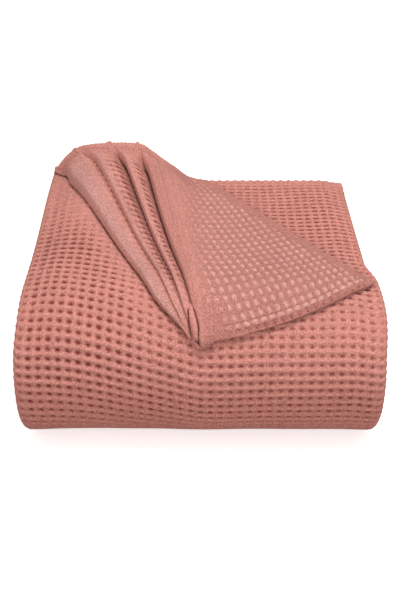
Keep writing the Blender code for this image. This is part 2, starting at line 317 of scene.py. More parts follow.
def makeCotton(name):
    # Cotton waffle cloth: soft, matt, combed yarn, with a sheen that makes edges look pale. Its colour carries painted
    # light: painted shade in the pits and folds and on the flap, painted sheen and shade on the pleats' crowns, and
    # painted highlights on the ribs and dots.
    material = bpy.data.materials.new(name)
    material.use_nodes = True
    tree = material.node_tree
    tree.nodes.clear()
    output = addNode(tree, "ShaderNodeOutputMaterial")
    surface = addNode(tree, "ShaderNodeBsdfPrincipled", {
        "in:Roughness": cotton["roughness"], "in:Sheen Weight": cotton["sheen"],
        "in:Sheen Roughness": cotton["sheenRoughness"], "in:Sheen Tint": hexColour(cotton["fuzz"]),
        "in:Specular IOR Level": cotton["specular"]})
    tree.links.new(surface.outputs["BSDF"], output.inputs["Surface"])
    shade, deep, sharp = (addNode(tree, "ShaderNodeAttribute", {"attribute_name": label}).outputs["Fac"]
                          for label in ("shade", "deep", "sharp"))
    cell = addNode(tree, "ShaderNodeAttribute", {"attribute_name": "cell"}).outputs["Vector"]
    # how deep in a pit a point lies; it sets the painted pit shade, the painted dot highlight and the painted rib
    # highlight
    pitShading = addNode(tree, "ShaderNodeMath", {"operation": "MULTIPLY"},
                     {0: pocketShape(tree, cell, sharp), 1: deep}).outputs[0]
    place = addNode(tree, "ShaderNodeTexCoord").outputs["Object"]

    # the yarns: two crossing waves in the weave's coordinates, where one cell is one pitch
    yarnsPerCell = waffle["pitch"] / cotton["yarn"]
    parts = addNode(tree, "ShaderNodeSeparateXYZ", links={0: cell})
    waves = []
    for axis in (0, 1):
        turns = addNode(tree, "ShaderNodeMath", {"operation": "MULTIPLY", 1: 2 * math.pi * yarnsPerCell},
                        {0: parts.outputs[axis]})
        waves.append(addNode(tree, "ShaderNodeMath", {"operation": "SINE"}, {0: turns.outputs[0]}).outputs[0])
    weave = addNode(tree, "ShaderNodeMath", {"operation": "MULTIPLY"}, {0: waves[0], 1: waves[1]}).outputs[0]
    tufts = addNode(tree, "ShaderNodeTexNoise", {"in:Scale": cotton["tufts"], "in:Detail": 3.0, "in:Roughness": 0.75},
                    {"Vector": place}).outputs["Fac"]
    dye = addNode(tree, "ShaderNodeTexNoise", {"in:Scale": cotton["dye"], "in:Detail": 3.0},
                  {"Vector": place}).outputs["Fac"]

    # painted light: the raised ribs get a painted highlight and the pits painted shade; smooth cloth, with no pits,
    # has the middle tone
    pit, dot, ribHighlight = (addNode(tree, "ShaderNodeMapRange", {"in:From Min": cotton[label][0],
                                                             "in:From Max": cotton[label][1]},
                                {"Value": pitShading}).outputs["Result"] for label in ("pit", "dot", "ribHighlight"))
    # how much painted highlight the ribs round a pit get
    ribbed = addNode(tree, "ShaderNodeMath", {"operation": "MULTIPLY", 1: cotton["ribGain"], "use_clamp": True},
                     {0: deep})
    pale = addNode(tree, "ShaderNodeMath", {"operation": "MULTIPLY"}, {0: ribbed.outputs[0], 1: ribHighlight})
    # the attribute shade is above 0 where painted shade darkens a fold, the flap or a line under an edge, and below 0
    # where the pleats get their painted sheen and shade
    # how much painted sheen and shade the pleats' crowns get
    sheenShade = addNode(tree, "ShaderNodeMapRange", {"in:From Min": 0.0, "in:From Max": -1.0}, {"Value": shade})
    base = addNode(tree, "ShaderNodeMix", {"data_type": "RGBA", 6: hexColour(cotton["rib"]),
                                           7: hexColour(cotton["crest"])}, {0: pale.outputs[0]}).outputs[2]
    # each mix paints light into the colour: shade in the pits, highlight on the dots, sheen and shade on the pleats,
    # shade in the folds
    for label, amount in (("pitShading", pit), ("dotHighlight", dot), ("foldSheenShade", sheenShade.outputs["Result"]), ("foldShade", shade)):
        base = addNode(tree, "ShaderNodeMix", {"data_type": "RGBA", 7: hexColour(cotton[label])},
                       {0: amount, 6: base}).outputs[2]

    # small differences in tone: the yarns, their tufts, and the uneven dye of washed cotton
    tone = addNode(tree, "ShaderNodeMath", {"operation": "MULTIPLY_ADD", 1: cotton["yarnTone"], 2: 1.0},
                   {0: weave}).outputs[0]
    for noise, (noiseFrom, noiseTo, low, high) in ((tufts, cotton["tuftTone"]), (dye, cotton["dyeTone"])):
        part = addNode(tree, "ShaderNodeMapRange", {"in:From Min": noiseFrom, "in:From Max": noiseTo,
                                                    "in:To Min": low, "in:To Max": high}, {"Value": noise})
        tone = addNode(tree, "ShaderNodeMath", {"operation": "MULTIPLY"},
                       {0: tone, 1: part.outputs["Result"]}).outputs[0]
    coloured = addNode(tree, "ShaderNodeVectorMath", {"operation": "SCALE"}, {0: base, "Scale": tone})
    tree.links.new(coloured.outputs[0], surface.inputs["Base Color"])
    relief = addNode(tree, "ShaderNodeMath", {"operation": "MULTIPLY_ADD", 1: cotton["tuftBump"]},
                     {0: tufts, 2: weave})
    bump = addNode(tree, "ShaderNodeBump", {"in:Strength": cotton["bump"], "in:Distance": cotton["bumpHeight"]},
                   {"Height": relief.outputs[0]})
    tree.links.new(bump.outputs["Normal"], surface.inputs["Normal"])
    return material


waffleCotton = makeCotton("waffleCotton")


def startTree(name, sockets):
    # a Geometry Nodes tree with its named inputs; gives the tree and the inputs' values
    tree = bpy.data.node_groups.new(name, "GeometryNodeTree")
    for label, kind in (("Geometry", "Geometry"), *sockets, ("Cloth", "Material")):
        tree.interface.new_socket(label, in_out="INPUT", socket_type="NodeSocket" + kind)
    tree.interface.new_socket("Geometry", in_out="OUTPUT", socket_type="NodeSocketGeometry")
    return tree, addNode(tree, "NodeGroupInput").outputs


def endTree(tree, given, result):
    real = addNode(tree, "GeometryNodeRealizeInstances", links={0: result})
    dressed = addNode(tree, "GeometryNodeSetMaterial", links={"Geometry": real.outputs[0],
                                                              "Material": given["Cloth"]})
    addNode(tree, "NodeGroupOutput", links={0: dressed.outputs[0]})
    return tree


def waffleTree():
    # Geometry Nodes: sinks a four-sided pit into each cell of the cloth, along the cloth's own normal
    tree, given = startTree("waffleRelief", (("Depth", "Float"),))
    cell, deep, sharp = (addNode(tree, "GeometryNodeInputNamedAttribute", {"data_type": kind, "in:Name": label})
                         .outputs["Attribute"]
                         for label, kind in (("cell", "FLOAT_VECTOR"), ("deep", "FLOAT"), ("sharp", "FLOAT")))
    depth = addNode(tree, "ShaderNodeMath", {"operation": "MULTIPLY"}, {0: deep, 1: given["Depth"]})
    down = addNode(tree, "ShaderNodeMath", {"operation": "MULTIPLY"},
                   {0: pocketShape(tree, cell, sharp), 1: depth.outputs[0]})
    below = addNode(tree, "ShaderNodeMath", {"operation": "MULTIPLY", 1: -1.0}, {0: down.outputs[0]})
    normal = addNode(tree, "GeometryNodeInputNormal")
    offset = addNode(tree, "ShaderNodeVectorMath", {"operation": "SCALE"}, {0: normal.outputs[0],
                                                                            "Scale": below.outputs[0]})
    moved = addNode(tree, "GeometryNodeSetPosition", links={"Geometry": given["Geometry"],
                                                            "Offset": offset.outputs[0]})
    return endTree(tree, given, moved.outputs["Geometry"])


def setInputs(modifier, values):
    # a modifier's inputs are set by identifier
    for item in modifier.node_group.interface.items_tree:
        if item.item_type == "SOCKET" and item.in_out == "INPUT" and item.name in values:
            modifier[item.identifier] = values[item.name]


def applyTree(piece, tree, values):
    # runs a node tree on a piece and keeps the result as a plain mesh
    modifier = piece.modifiers.new(tree.name, "NODES")
    modifier.node_group = tree
    setInputs(modifier, values)
    graph = bpy.context.evaluated_depsgraph_get()
    mesh = bpy.data.meshes.new_from_object(piece.evaluated_get(graph), depsgraph=graph)
    piece.modifiers.clear()
    old = piece.data
    piece.data = mesh
    bpy.data.meshes.remove(old)
    mesh.name = piece.name
    return piece


reliefTree = waffleTree()


def pressWaffle(piece):
    return applyTree(piece, reliefTree, {"Depth": waffle["depth"], "Cloth": waffleCotton})


def pocketDepths(cells, depth, seed):
    # each pit has its own depth, the same all over the pit
    rng = np.random.RandomState(seed)
    table = 1.0 + waffle["uneven"] * rng.uniform(-1.0, 1.0, (97, 97))
    whole = np.floor(cells + 1e-6).astype(int) % 97
    return depth * table[whole[..., 0], whole[..., 1]]


outer = {
    "depth": 0.0035,                               # how deep the pits are
    "cellsAcross": 37, "overhang": 1.1,            # cells across the front, and cells that hang over each side
    "perCell": 6, "roll": 0.007,                   # points per cell, and the radius of the roll over each side
    "reaches": (0.5, -0.7),                        # both skins, in thicknesses of the sheet; the lower below the pits
    "slope": 0.20, "slopeX": (-0.190, 0.0),        # how steep the left side's rows run down to the right, and where
    "slopeStart": (-0.02, 0.08), "slopeEnd": (0.40, 0.56),   # and along the cloth
    "topTighter": 0.14, "tightTo": (0.17, 0.25),   # how much closer the top's rows stand, and how far down
    "rollFrom": (0.004, 0.035),                    # where the sides start to roll over, from the back
    "fineEnd": 0.505, "underRows": 12,             # where the pits end, and how many plain rows lie under the stack
    "tail": 2,                                     # cells past the top back fold, inside the stack
    "backLift": 0.002, "liftReach": 0.06, "liftZ": (0.10, 0.15),   # the back edge stands up a little
    "backDepth": 0.55, "backDepthTo": (0.004, 0.03),         # and its pits are pulled flat
    "sideDepth": 0.60, "sideCells": (17.5, 18.5),  # so are the pits at the side edges
    "besidePleats": (0.873, -0.488), "pleatPlace": (-0.009, 0.308),   # way out of the pleats' left edge, and its place
    "stretched": 0.45, "stretchReach": (0.004, 0.050),       # how much flatter the cloth is drawn beside it
    "stretchedTo": (0.20, 0.30), "underPleats": 0.03,        # down to where, and how far under the pleats
    "easedFront": 0.16, "easedFrom": (0.22, 0.28), "easedTo": (0.34, 0.40),   # flatter where the front turns down
    "leftX": (0.03, 0.10),                         # how far to the left what follows starts, and is full
    "flatterBack": 0.24, "backTo": (0.15, 0.21),   # the pits are flatter at the back
    "wideLeft": 0.18, "flatterLeft": 0.03, "leftTo": (0.28, 0.36),    # and wider and a little flatter before it
    "underFade": (0.432, 0.446), "underFlat": 0.8,           # they fade out below the lowest line that shows
    "sharp": (0.75, 0.3, 0.4),                     # how narrow the pits are: on top, and what front and foot add
    "frontFrom": (0.21, 0.27), "footFrom": (0.33, 0.43),
    "swell": 0.0008, "swellFrom": (0.0, 0.05), "swellTo": (0.40, 0.50),      # soft unevenness of the top
    "waves": ((31, 17, 1.0, 1.0), (-23, 41, 0.0, 0.6), (67, 29, 2.0, 0.4)),  # along x and y, start, and share
}


def rowShift(x, v):
    # the left side's rows run down to the right, because the cloth is drawn up to the hump there
    start, end = outer["slopeEnd"]
    relaxed = np.clip((v - start) / (end - start), 0.0, 1.0)
    return outer["slope"] * np.clip(x, *outer["slopeX"]) * (1.0 - relaxed) * ease(v, *outer["slopeStart"])


def sideWays(cell, width, drop):
    # where a column of the outer ply is: sideways place, depth of the roll, and how far it has turned
    pitch = width / (outer["cellsAcross"] / 2)
    last = outer["cellsAcross"] / 2 - 1
    size = np.abs(cell)
    way = np.where(size <= last, size * pitch, last * pitch
                   + (size - last) / (1 + outer["overhang"]) * (pitch + drop * outer["overhang"] * pitch))
    radius = outer["roll"]
    past = np.maximum(0.0, way - (width - radius))
    turn = np.minimum(past / radius, math.pi / 2)
    x = np.minimum(way, width - radius) + radius * np.sin(turn)
    depth = radius * (1 - np.cos(turn)) + np.maximum(0.0, past - radius * math.pi / 2)
    return np.sign(cell) * x, depth, np.sign(cell) * turn


def outerRows():
    # rows count from the top back fold to the front and down; the last ones are coarse, under the stack.
    # The rows stand closer together on the top than in front, where the cloth is stretched round the fold.
    lengths = np.linspace(-0.03, 0.6, 2001)   # more than the ply's own length, at either end
    tightening = np.cumsum(1.0 - ease(lengths, *outer["tightTo"])) * (lengths[1] - lengths[0]) * outer["topTighter"]
    cellRows = (lengths + tightening - np.interp(0.0, lengths, tightening)) / pitchAlong
    fineEnd = math.floor(float(np.interp(outer["fineEnd"], lengths, cellRows)))
    wantedRows = np.arange(-outer["tail"] * outer["perCell"], fineEnd * outer["perCell"] + 1) / outer["perCell"]
    rows = np.interp(wantedRows, cellRows, lengths)
    under = np.linspace(rows[-1] + 0.004, topBack - 0.0005, outer["underRows"])
    v = np.concatenate([rows, under])
    isFine = (v > rows[0] + 0.004) & (v < rows[-1] - 0.001)
    return v[:, None], np.concatenate([wantedRows, np.full(len(under), wantedRows[-1])])[:, None], isFine


def outerPits(cells, cell, v, x, s, isFine):
    # how deep and how narrow the outer ply's pits are
    depths = pocketDepths(cells, outer["depth"], 3) * isFine[:, None]
    depths = depths * mix(outer["backDepth"], 1.0, ease(np.abs(v), *outer["backDepthTo"]))
    depths = depths * mix(1.0, outer["sideDepth"], ease(np.abs(cell), *outer["sideCells"]))
    depths = depths * (1.0 - outer["underFlat"] * ease(v, *outer["underFade"]))
    toLeft = ease(-x, *outer["leftX"])
    eased = ease(v, *outer["easedFrom"]) * (1.0 - ease(v, *outer["easedTo"]))
    depths = depths * (1.0 - outer["easedFront"] * (1.0 - toLeft) * eased)
    fromPleats = ((x - outer["pleatPlace"][0]) * outer["besidePleats"][0]
                  + (s - outer["pleatPlace"][1]) * outer["besidePleats"][1])
    drawn = ((1.0 - ease(-fromPleats, *outer["stretchReach"])) * (fromPleats < outer["underPleats"])
             * (1.0 - ease(s, *outer["stretchedTo"])))
    depths = depths * (1.0 - outer["stretched"] * drawn)
    opened = toLeft * ease(v, *outer["backTo"]) * (1.0 - ease(v, *outer["leftTo"])) * (1.0 - drawn)
    depths = depths * (1.0 - outer["flatterLeft"] * opened)
    depths = depths * (1.0 - outer["flatterBack"] * toLeft * (1.0 - ease(v, *outer["backTo"])))
    top, front, foot = outer["sharp"]
    sharp = (top - outer["wideLeft"] * opened + front * ease(v, *outer["frontFrom"])
             + foot * ease(v, *outer["footFrom"]) * np.ones_like(depths))
    return depths, sharp


def buildOuterPly():
    half = outer["cellsAcross"] / 2 + outer["overhang"]
    columnCount = int(round(half * outer["perCell"]))
    cellColumns = np.arange(-columnCount, columnCount + 1) / outer["perCell"]
    v, cellRow, isFine = outerRows()
    cell = np.broadcast_to(cellColumns[None, :], (len(v), len(cellColumns)))
    xGuess = cell * pile["halfWidthTop"] / (outer["cellsAcross"] / 2)
    s = v + rowShift(xGuess, v)
    y, z, outY, outZ = sheetLine.at(topBack - s)
    drop = ease(v, *outer["rollFrom"]) * np.ones_like(s)
    x, depth, turn = sideWays(cell, halfWidth(y, z / pile["foldHeight"], cell), drop)
    depth = depth * drop
    skins = []
    for side in outer["reaches"]:
        reach = side * pile["sheet"]
        lift = waffle["ribHeight"] if side > 0 else 0.0
        away = (reach + lift) * np.cos(turn * drop) - depth
        xs = x + reach * np.sin(turn) * drop
        ys, zs = y + away * outY, z + away * outZ
        placed = placeInPile(xs, ys, np.maximum(zs, 0.0))
        nearBack = 1.0 - ease(np.abs(s), 0.0, outer["liftReach"])
        placed[..., 2] += outer["backLift"] * nearBack * ease(zs, *outer["liftZ"])
        waves = sum(share * np.sin(alongX * xs + alongY * ys + start)
                    for alongX, alongY, start, share in outer["waves"])
        placed[..., 2] += outer["swell"] * ease(v, *outer["swellFrom"]) * (1 - ease(v, *outer["swellTo"])) * waves
        skins.append(placed)
    cells = np.stack(np.broadcast_arrays(cell + outer["cellsAcross"] / 2, cellRow), axis=-1)
    depths, sharp = outerPits(cells, cell, v, x, s, isFine)
    # the coarse skin follows the roll at the sides closely
    last = len(cellColumns) - 1
    wide, edge = 3 * outer["perCell"], 3 * outer["perCell"] + 1
    coarse = sorted(set(range(0, last + 1, wide)) | set(range(0, edge, 3)) | set(range(last, last - edge, -3)))
    every = list(range(len(cellColumns)))
    none = np.zeros_like(depths)
    piece = clothMesh("outerPly", skins, [[every if fine else coarse for fine in isFine], [coarse] * len(isFine)],
                      cells, [depths, none], none, sharp, turned=True)
    return pressWaffle(piece)


outerPly = buildOuterPly()
print("outer ply: %d faces" % len(outerPly.data.polygons))

inner = {
    "columns": (-1.0, -0.985, -0.90, -0.5, 0.0, 0.5, 0.90, 0.985, 1.0),   # where the plain parts have points, across
    "step": 0.0037, "foldReach": 0.0085, "foldStep": 0.0017,   # between rows; round the back folds they are finer
    "inset": 0.0045, "uneven": 0.0016, "waves": ((9.0, 1.0), (23.0, 0.5)),   # how far the sides stand back, and differ
    "wave": 0.0005, "pits": 0.7,                               # ribs at the edges, and the pits' depth at the folds
}


def buildInnerLayers():
    start = topBack + (outer["tail"] - 0.6) * pitchAlong
    end = stackLengths[-1] - 0.001
    stations = np.arange(start, end, inner["step"])
    fine = []
    for fold in backFolds[1:]:
        stations = stations[np.abs(stations - fold) > inner["foldReach"] + 0.001]
        fine.append(np.arange(fold - inner["foldReach"], fold + inner["foldReach"] + 1e-6, inner["foldStep"]))
    fine = np.concatenate(fine)
    order = np.argsort(np.concatenate([stations, fine]))
    lengths = np.concatenate([stations, fine])[order]
    isFine = np.concatenate([np.zeros(len(stations), bool), np.ones(len(fine), bool)])[order]
    half = outer["cellsAcross"] / 2
    cellColumns = np.arange(-half, half + 0.01, 1 / outer["perCell"])
    shares = cellColumns / half
    coarse = sorted({int(np.argmin(np.abs(shares - share))) for share in inner["columns"]})
    every = list(range(len(cellColumns)))
    y, z, outY, outZ = (part[:, None] for part in sheetLine.at(lengths))
    wave = inner["wave"] * np.cos(2 * math.pi * lengths[:, None] / pitchAlong)
    inset = inner["inset"] + inner["uneven"] * sum(share * np.sin(lengths[:, None] * often)
                                                   for often, share in inner["waves"])
    x = shares[None, :] * (halfWidth(y, z / pile["foldHeight"], shares[None, :]) - inset)
    skins = [placeInPile(x, y + reach * outY, np.maximum(z + reach * outZ, 0.0005))
             for reach in (pile["sheet"] / 2 + wave, -pile["sheet"] / 2 + wave * 0.4)]
    cells = np.stack(np.broadcast_arrays(cellColumns[None, :] + half, lengths[:, None] / pitchAlong), -1)
    # the pits are pressed into whichever skin looks out at the back folds
    deep = pocketDepths(cells, inner["pits"] * waffle["depth"], 5) * isFine[:, None]
    depths = [deep * (outY > 0.2), deep * (outY < -0.2)]
    both = [every if one else coarse for one in isFine]
    piece = clothMesh("innerLayers", skins, [both, both], cells, depths, np.zeros_like(deep), np.ones_like(deep))
    return pressWaffle(piece)


innerLayers = buildInnerLayers()
print("inner layers: %d faces" % len(innerLayers.data.polygons))

corner = {
    "sheet": 0.0024, "hemGap": 0.0016,             # thickness, and the air under the edges
    "tipX": 0.0015, "tipS": 0.3105, "tipRadius": (0.0105, 0.0085),   # where the fan's lower end is: x, along the cloth
    "crestS": 0.020,                               # how far from the back the hump's crest is, along the cloth
    "flapCorner": (0.1800, 0.2385), "hemBow": 0.010,         # the flap's far corner, and how its lower edge bows
    "flapEdgeTop": (0.012, 0.020), "flapEdgeTurn": 0.29,     # where its upper edge turns, and at which share of it
    "tuckBack": 0.0022, "tuckDepth": 0.0050,       # how far the cloth reaches over the hump, and down behind it
    "heightShares": (0.0, 0.5, 0.87, 0.97, 1.0), "nearCrest": 0.93,   # where along a line its heights are
    "tuckShares": (0.0, 0.16),                     # where along a line it starts to run sideways
    "steps": 256, "overSteps": 24, "spacing": (0.0016, 0.0023),       # points along a line, and between lines
    "coarse": (4, 2), "seamFrom": 20,              # the underside's rows and columns; the row where the seam starts
    "hookShares": (0.84, 1.0),                     # where along a line it bends to the left, over the hump
    "rimShares": (0.80, 0.97),                     # where the folds open out again, at the hump
    "noseShare": 0.032,                            # how much of each line is rounded down at the fan's lower end
    "hemWidth": 0.0110, "hemLift": 0.0010, "stitchGroove": 0.0009, "grooveWidth": 0.0012, "hemShares": (0.06, 0.16),
    "gathered": (0.55, 1.0), "overHump": (1.9, 0.40),        # how closely the ribs stand: in the pleats, on the hump
    "patternShares": (0.04, 0.25), "foldShares": (0.85, 0.89),        # where ribs and dots start; where ribs stop
    "humpFrom": 0.90, "humpShares": (0.895, 0.92), "humpRibs": 0.65,  # the hump's ribs: where, and how strong
    "plainFolds": (0.3, 0.8),                      # how much painted fold shade a line has where the hump's ribs grow fewer, and where there are none
    "measuredLine": 90,                            # the line along which rows are counted
    "ribDepth": 0.0034, "ribSharp": 0.55,          # the pleats' ribs: how deep, and how narrow
    "dotHeight": 0.0023, "dotSharp": 2.2, "rowsApart": 0.0108,        # the flap's dots, and their rows
    "edgePits": 1.15, "padSharp": 1.1,             # the hem's pits against its pads, and how narrow both are
    "plainEdge": 0.8,                              # how much fainter the dots are on the upper hem
    "reverse": (0.19, 0.29),                       # how much painted shade darkens the flap: at the fold, the hem
    "shadeShares": (0.0, 0.07), "paleShares": (0.84, 0.95), "paler": 0.9,   # where the painted shade in the folds starts, where it fades again, and by how much
    "streaks": 0.10, "streakWaves": (17.0, 5.3),   # pale and dark streaks along the pleats: painted light and shade of their fine gathers
    "shadeReach": (0.0026, 0.0050), "shadeAmount": 0.85,     # the painted shadow line beside the first pleat and below the hem
    # turn round the tip in degrees; the share of its length at which the line starts; place on the crest, bow, tuck
    # (sideways in the middle) and hook (to the left at the crest), in metres; heights above the pile in mm at the tip,
    # half way and near the hump; height of the crest above the floor in mm; how strongly the cloth is ribbed; and its
    # painted shade: above 0 the painted shade down in a fold, below 0 the painted sheen and shade of a fold's crown
    "pleats": (
        # name              turn  from   crestX    bow     tuck    hook   tip   middle upper  crest  ribs   shade
        ("A under",         188, 0.00, -0.1700,  0.004,  0.000, 0.010,   0.6,   0.6,   1.0, 191.0,  0.0,  1.00),
        ("A edge",          182, 0.00, -0.1690,  0.004, -0.015, 0.010,   1.4,   2.0,   3.2, 195.0,  0.0,  0.00),
        ("A fold",          188, 0.00, -0.1645,  0.004, -0.014, 0.011,   5.5,   9.0,  12.5, 204.0,  0.0, -1.00),
        ("A back",          198, 0.00, -0.1520,  0.003, -0.010, 0.012,   6.0,   9.5,  13.5, 218.0,  0.5, -0.80),
        ("A slope",         208, 0.01, -0.1440,  0.003, -0.001, 0.013,   4.6,   8.0,  11.5, 224.0,  0.7,  0.35),
        ("B under",         213, 0.03, -0.1410,  0.003,  0.011, 0.013,   2.0,   2.0,   2.5, 226.0,  1.0,  1.00),
        ("B edge",          208, 0.04, -0.1385,  0.003, -0.003, 0.013,   6.0,   8.5,  11.0, 227.5,  0.0,  0.00),
        ("B fold",          212, 0.04, -0.1340,  0.003, -0.004, 0.012,   8.4,  14.0,  17.5, 230.0,  0.1, -0.60),
        ("B back",          221, 0.04, -0.1210,  0.001, -0.001, 0.010,   8.0,  13.0,  16.0, 233.0,  1.0,  0.00),
        ("B slope",         232, 0.05, -0.1100, -0.001,  0.002, 0.006,   5.2,   9.0,  11.5, 234.0,  0.9,  0.40),
        ("C under",         240, 0.05, -0.1060, -0.002,  0.010, 0.005,   2.0,   2.5,   3.5, 234.2,  1.0,  1.00),
        ("C edge",          236, 0.06, -0.1020, -0.001,  0.001, 0.005,   6.0,  10.0,  13.0, 234.3,  0.1,  0.00),
        ("C fold",          240, 0.06, -0.0985, -0.001,  0.000, 0.005,   9.4,  16.5,  19.5, 234.4,  0.3, -0.40),
        ("C back",          248, 0.06, -0.0870, -0.002,  0.002, 0.003,   9.0,  15.5,  18.0, 234.5,  1.0,  0.00),
        ("C slope",         258, 0.05, -0.0790, -0.003,  0.004, 0.001,   5.5,   9.5,  12.0, 234.0,  1.0,  0.40),
        ("flap under",      268, 0.04, -0.0765, -0.004,  0.013, 0.000,   2.0,   3.0,   5.0, 233.8,  1.0,  1.00),
        ("flap edge",       264, 0.02, -0.0740, -0.004,  0.004, 0.000,   6.5,  12.0,  15.0, 233.4,  0.0,  0.10),
        ("flap fold",       268, 0.01, -0.0695, -0.004,  0.003, 0.000,  10.4,  19.5,  22.5, 232.0,  0.0,  0.17),
        ("flap shoulder",   275, 0.00, -0.0600, -0.003,  0.002, 0.000,  11.0,  19.5,  22.0, 225.0,  0.0,  0.18),
    ),
    # the flap: turn, place along its upper edge, heights in mm at the tip, half way and near the edge, height of the
    # edge above the floor in mm, how strongly the cloth's reverse side shows its dots
    "flap": (
        # name              turn  along  tip   middle upper  edge  dots
        ("shoulder",        282, 0.10,  10.0,  17.0,  18.0, 204.0,  0.2),
        ("upper",           291, 0.19,   9.0,  14.5,  12.0, 186.0,  0.5),
        ("back edge",       300, 0.29,   8.5,  11.0,   6.0, 180.0,  0.8),
        ("upper middle",    310, 0.42,   8.0,   8.5,   3.5, 178.0,  0.9),
        ("middle",          320, 0.56,   7.5,   7.0,   3.0, 174.0,  1.0),
        ("lower middle",    330, 0.70,   7.0,   6.5,   3.0, 170.0,  1.0),
        ("over the hem",    341, 0.85,   6.0,   5.5,   3.0, 166.0,  1.0),
        ("lower hem",       352, 1.00,   5.0,   4.0,   3.0, 162.5,  1.0),
    ),
}


stitch = {
    "pitch": 0.0042, "size": (0.0030, 0.0009, 0.0006),   # from stitch to stitch; length, width and thickness
    "beside": 0.0008, "above": 0.0009, "fromEnd": 0.004,  # place beside the hem's inner fold, and above the middle
    "thread": "#A9645A",
}


def pilePlace(x, s, height):
    # a place above the pile's top skin, and the way out of the skin there
    radius = pile["foldHeight"] / 2
    turn = np.clip((s - pile["flatLength"]) / radius, 0.0, math.pi)
    forward, upward = frontArc(turn, radius)
    y = np.where(s < pile["flatLength"], pile["back"] - s, foldStart - forward)
    z = (radius + upward) * pileTop(x, np.maximum(y, foldStart)) / pile["foldHeight"]
    return np.stack([x + 0 * height, y - height * np.sin(turn), z + height * np.cos(turn)], -1)


def throughPoints(places, values, wanted):
    # a smooth curve through values at places, without overshoot: cubic with limited slopes
    places, values = np.asarray(places, float), np.asarray(values, float)
    steps = np.diff(places)
    slopes = np.diff(values, axis=0) / steps.reshape(-1, *[1] * (values.ndim - 1))
    before, after = slopes[:-1], slopes[1:]
    together = np.where(before + after == 0, 1, before + after)
    inside = np.where(before * after > 0, 2 * before * after / together, 0.0)
    tangents = np.concatenate([slopes[:1], inside, slopes[-1:]])
    i = np.clip(np.searchsorted(places, wanted, side="right") - 1, 0, len(places) - 2)
    span = steps[i]
    t = (wanted - places[i]) / span
    shape = (-1,) + (1,) * (values.ndim - 1)
    t, span = t.reshape(shape), span.reshape(shape)
    return (values[i] * (1 + 2 * t) * (1 - t) ** 2 + tangents[i] * span * t * (1 - t) ** 2
            + values[i + 1] * t * t * (3 - 2 * t) - tangents[i + 1] * span * t * t * (1 - t))


def flapEnd(along):
    # a place on the flap's upper edge, which runs from the hump to the flap's far corner
    start = (corner["pleats"][-1][3], corner["crestS"])
    return tuple(float(np.interp(along, (0.0, corner["flapEdgeTurn"], 1.0), places))
                 for places in zip(start, corner["flapEdgeTop"], corner["flapCorner"]))


def cornerTable():
    # one row of numbers for each line of the fan
    table = []
    for _, turn, begin, crestX, bow, tuck, hook, *heights, ribs, shade in corner["pleats"]:
        table.append((turn, crestX, corner["crestS"], bow, tuck, hook, *heights, ribs, 0.0, shade, begin))
    for _, turn, along, *heights, dots in corner["flap"]:
        table.append((turn, *flapEnd(along), corner["hemBow"] * along, 0.0, 0.0, *heights, 0.0, dots, 0.0, 0.0))
    return np.array(table)


def cornerGrid(table, wanted, share):
    # places on the pile and heights above it, for lines at the wanted rows of the table
    lines = throughPoints(np.arange(len(table), dtype=float), table, wanted)
    turn, endX, endS, bow, tuck, hook = lines[:, :6].T
    angle = np.radians(turn)
    startX = corner["tipX"] + corner["tipRadius"][0] * np.cos(angle)
    startS = corner["tipS"] - corner["tipRadius"][1] * np.sin(angle)
    lift = corner["hemGap"] + corner["sheet"] / 2
    part = mix(lines[:, 13], 1.0, share[:, None])
    bend = 4 * bow * part * (1 - part)
    plateau = ease(part, *corner["tuckShares"]) * (1.0 - ease(part, *corner["rimShares"]))
    x = mix(startX, endX, part) + bend + tuck * plateau - hook * ease(part, *corner["hookShares"])
    s = mix(startS, endS, part) + bend
    base = pilePlace(x[-1], s[-1], 0.0 * x[-1])[:, 2]
    crest = np.maximum(lift, lines[:, 9] / 1000 - base)
    low, middle, upper = lift + lines[:, 6:9].T / 1000
    heights = np.stack([low, middle, upper, mix(upper, crest, corner["nearCrest"]), crest])
    return x, s, throughPoints(corner["heightShares"], heights, share), lines


def fanLines(table):
    # which lines to draw, as rows of the table; they stand closer together where its rows are far apart
    wanted = []
    for row in range(len(table) - 1):
        way = math.dist(table[row][1:3], table[row + 1][1:3])
        climb = abs(table[row + 1][8] - table[row][8]) / 1000
        spacing = corner["spacing"][0 if row < len(corner["pleats"]) else 1]
        count = max(6, int(round(math.hypot(way, climb) / spacing)))
        wanted += list(row + np.arange(count) / count)
    return np.array(wanted + [len(table) - 1.0])


def placesOnFlap(x, s):
    # along the hem, in from the hem, and in from the flap's upper edge, which is hemmed as well
    farX, farS = corner["flapCorner"]
    hemWay = np.array([corner["tipX"] - farX, corner["tipS"] - farS])
    hemWay /= np.linalg.norm(hemWay)
    edgeWay = np.array([corner["flapEdgeTop"][0] - farX, corner["flapEdgeTop"][1] - farS])
    edgeWay /= np.linalg.norm(edgeWay)
    place = np.stack([x - farX, s - farS], -1)
    along, away = place @ hemWay, place @ np.array([-hemWay[1], hemWay[0]])
    order = np.argsort(along[:, -1])
    away = away - np.interp(along, along[order, -1], away[order, -1])
    return along, np.abs(away), np.abs(place @ np.array([-edgeWay[1], edgeWay[0]]))


def overHump(middle):
    # the fan goes on over the hump and down behind it
    crest = middle[-1]
    backReach = pile["back"] + corner["tuckBack"] - crest[:, 1]
    drop = crest[:, 2] - (pileTop(crest[:, 0], pile["back"]) - corner["tuckDepth"])
    turn = np.linspace(0.0, math.pi / 2, corner["overSteps"] + 1)[1:, None]
    behind = np.stack([crest[:, 0] + 0 * turn, crest[:, 1] + backReach * np.sin(turn),
                       crest[:, 2] - drop * (1 - np.cos(turn))], -1)
    return np.concatenate([middle, behind])


def carriedOver(values):
    # what the fan's last row has goes on over the hump
    return np.concatenate([values, np.repeat(values[-1:], corner["overSteps"], axis=0)])


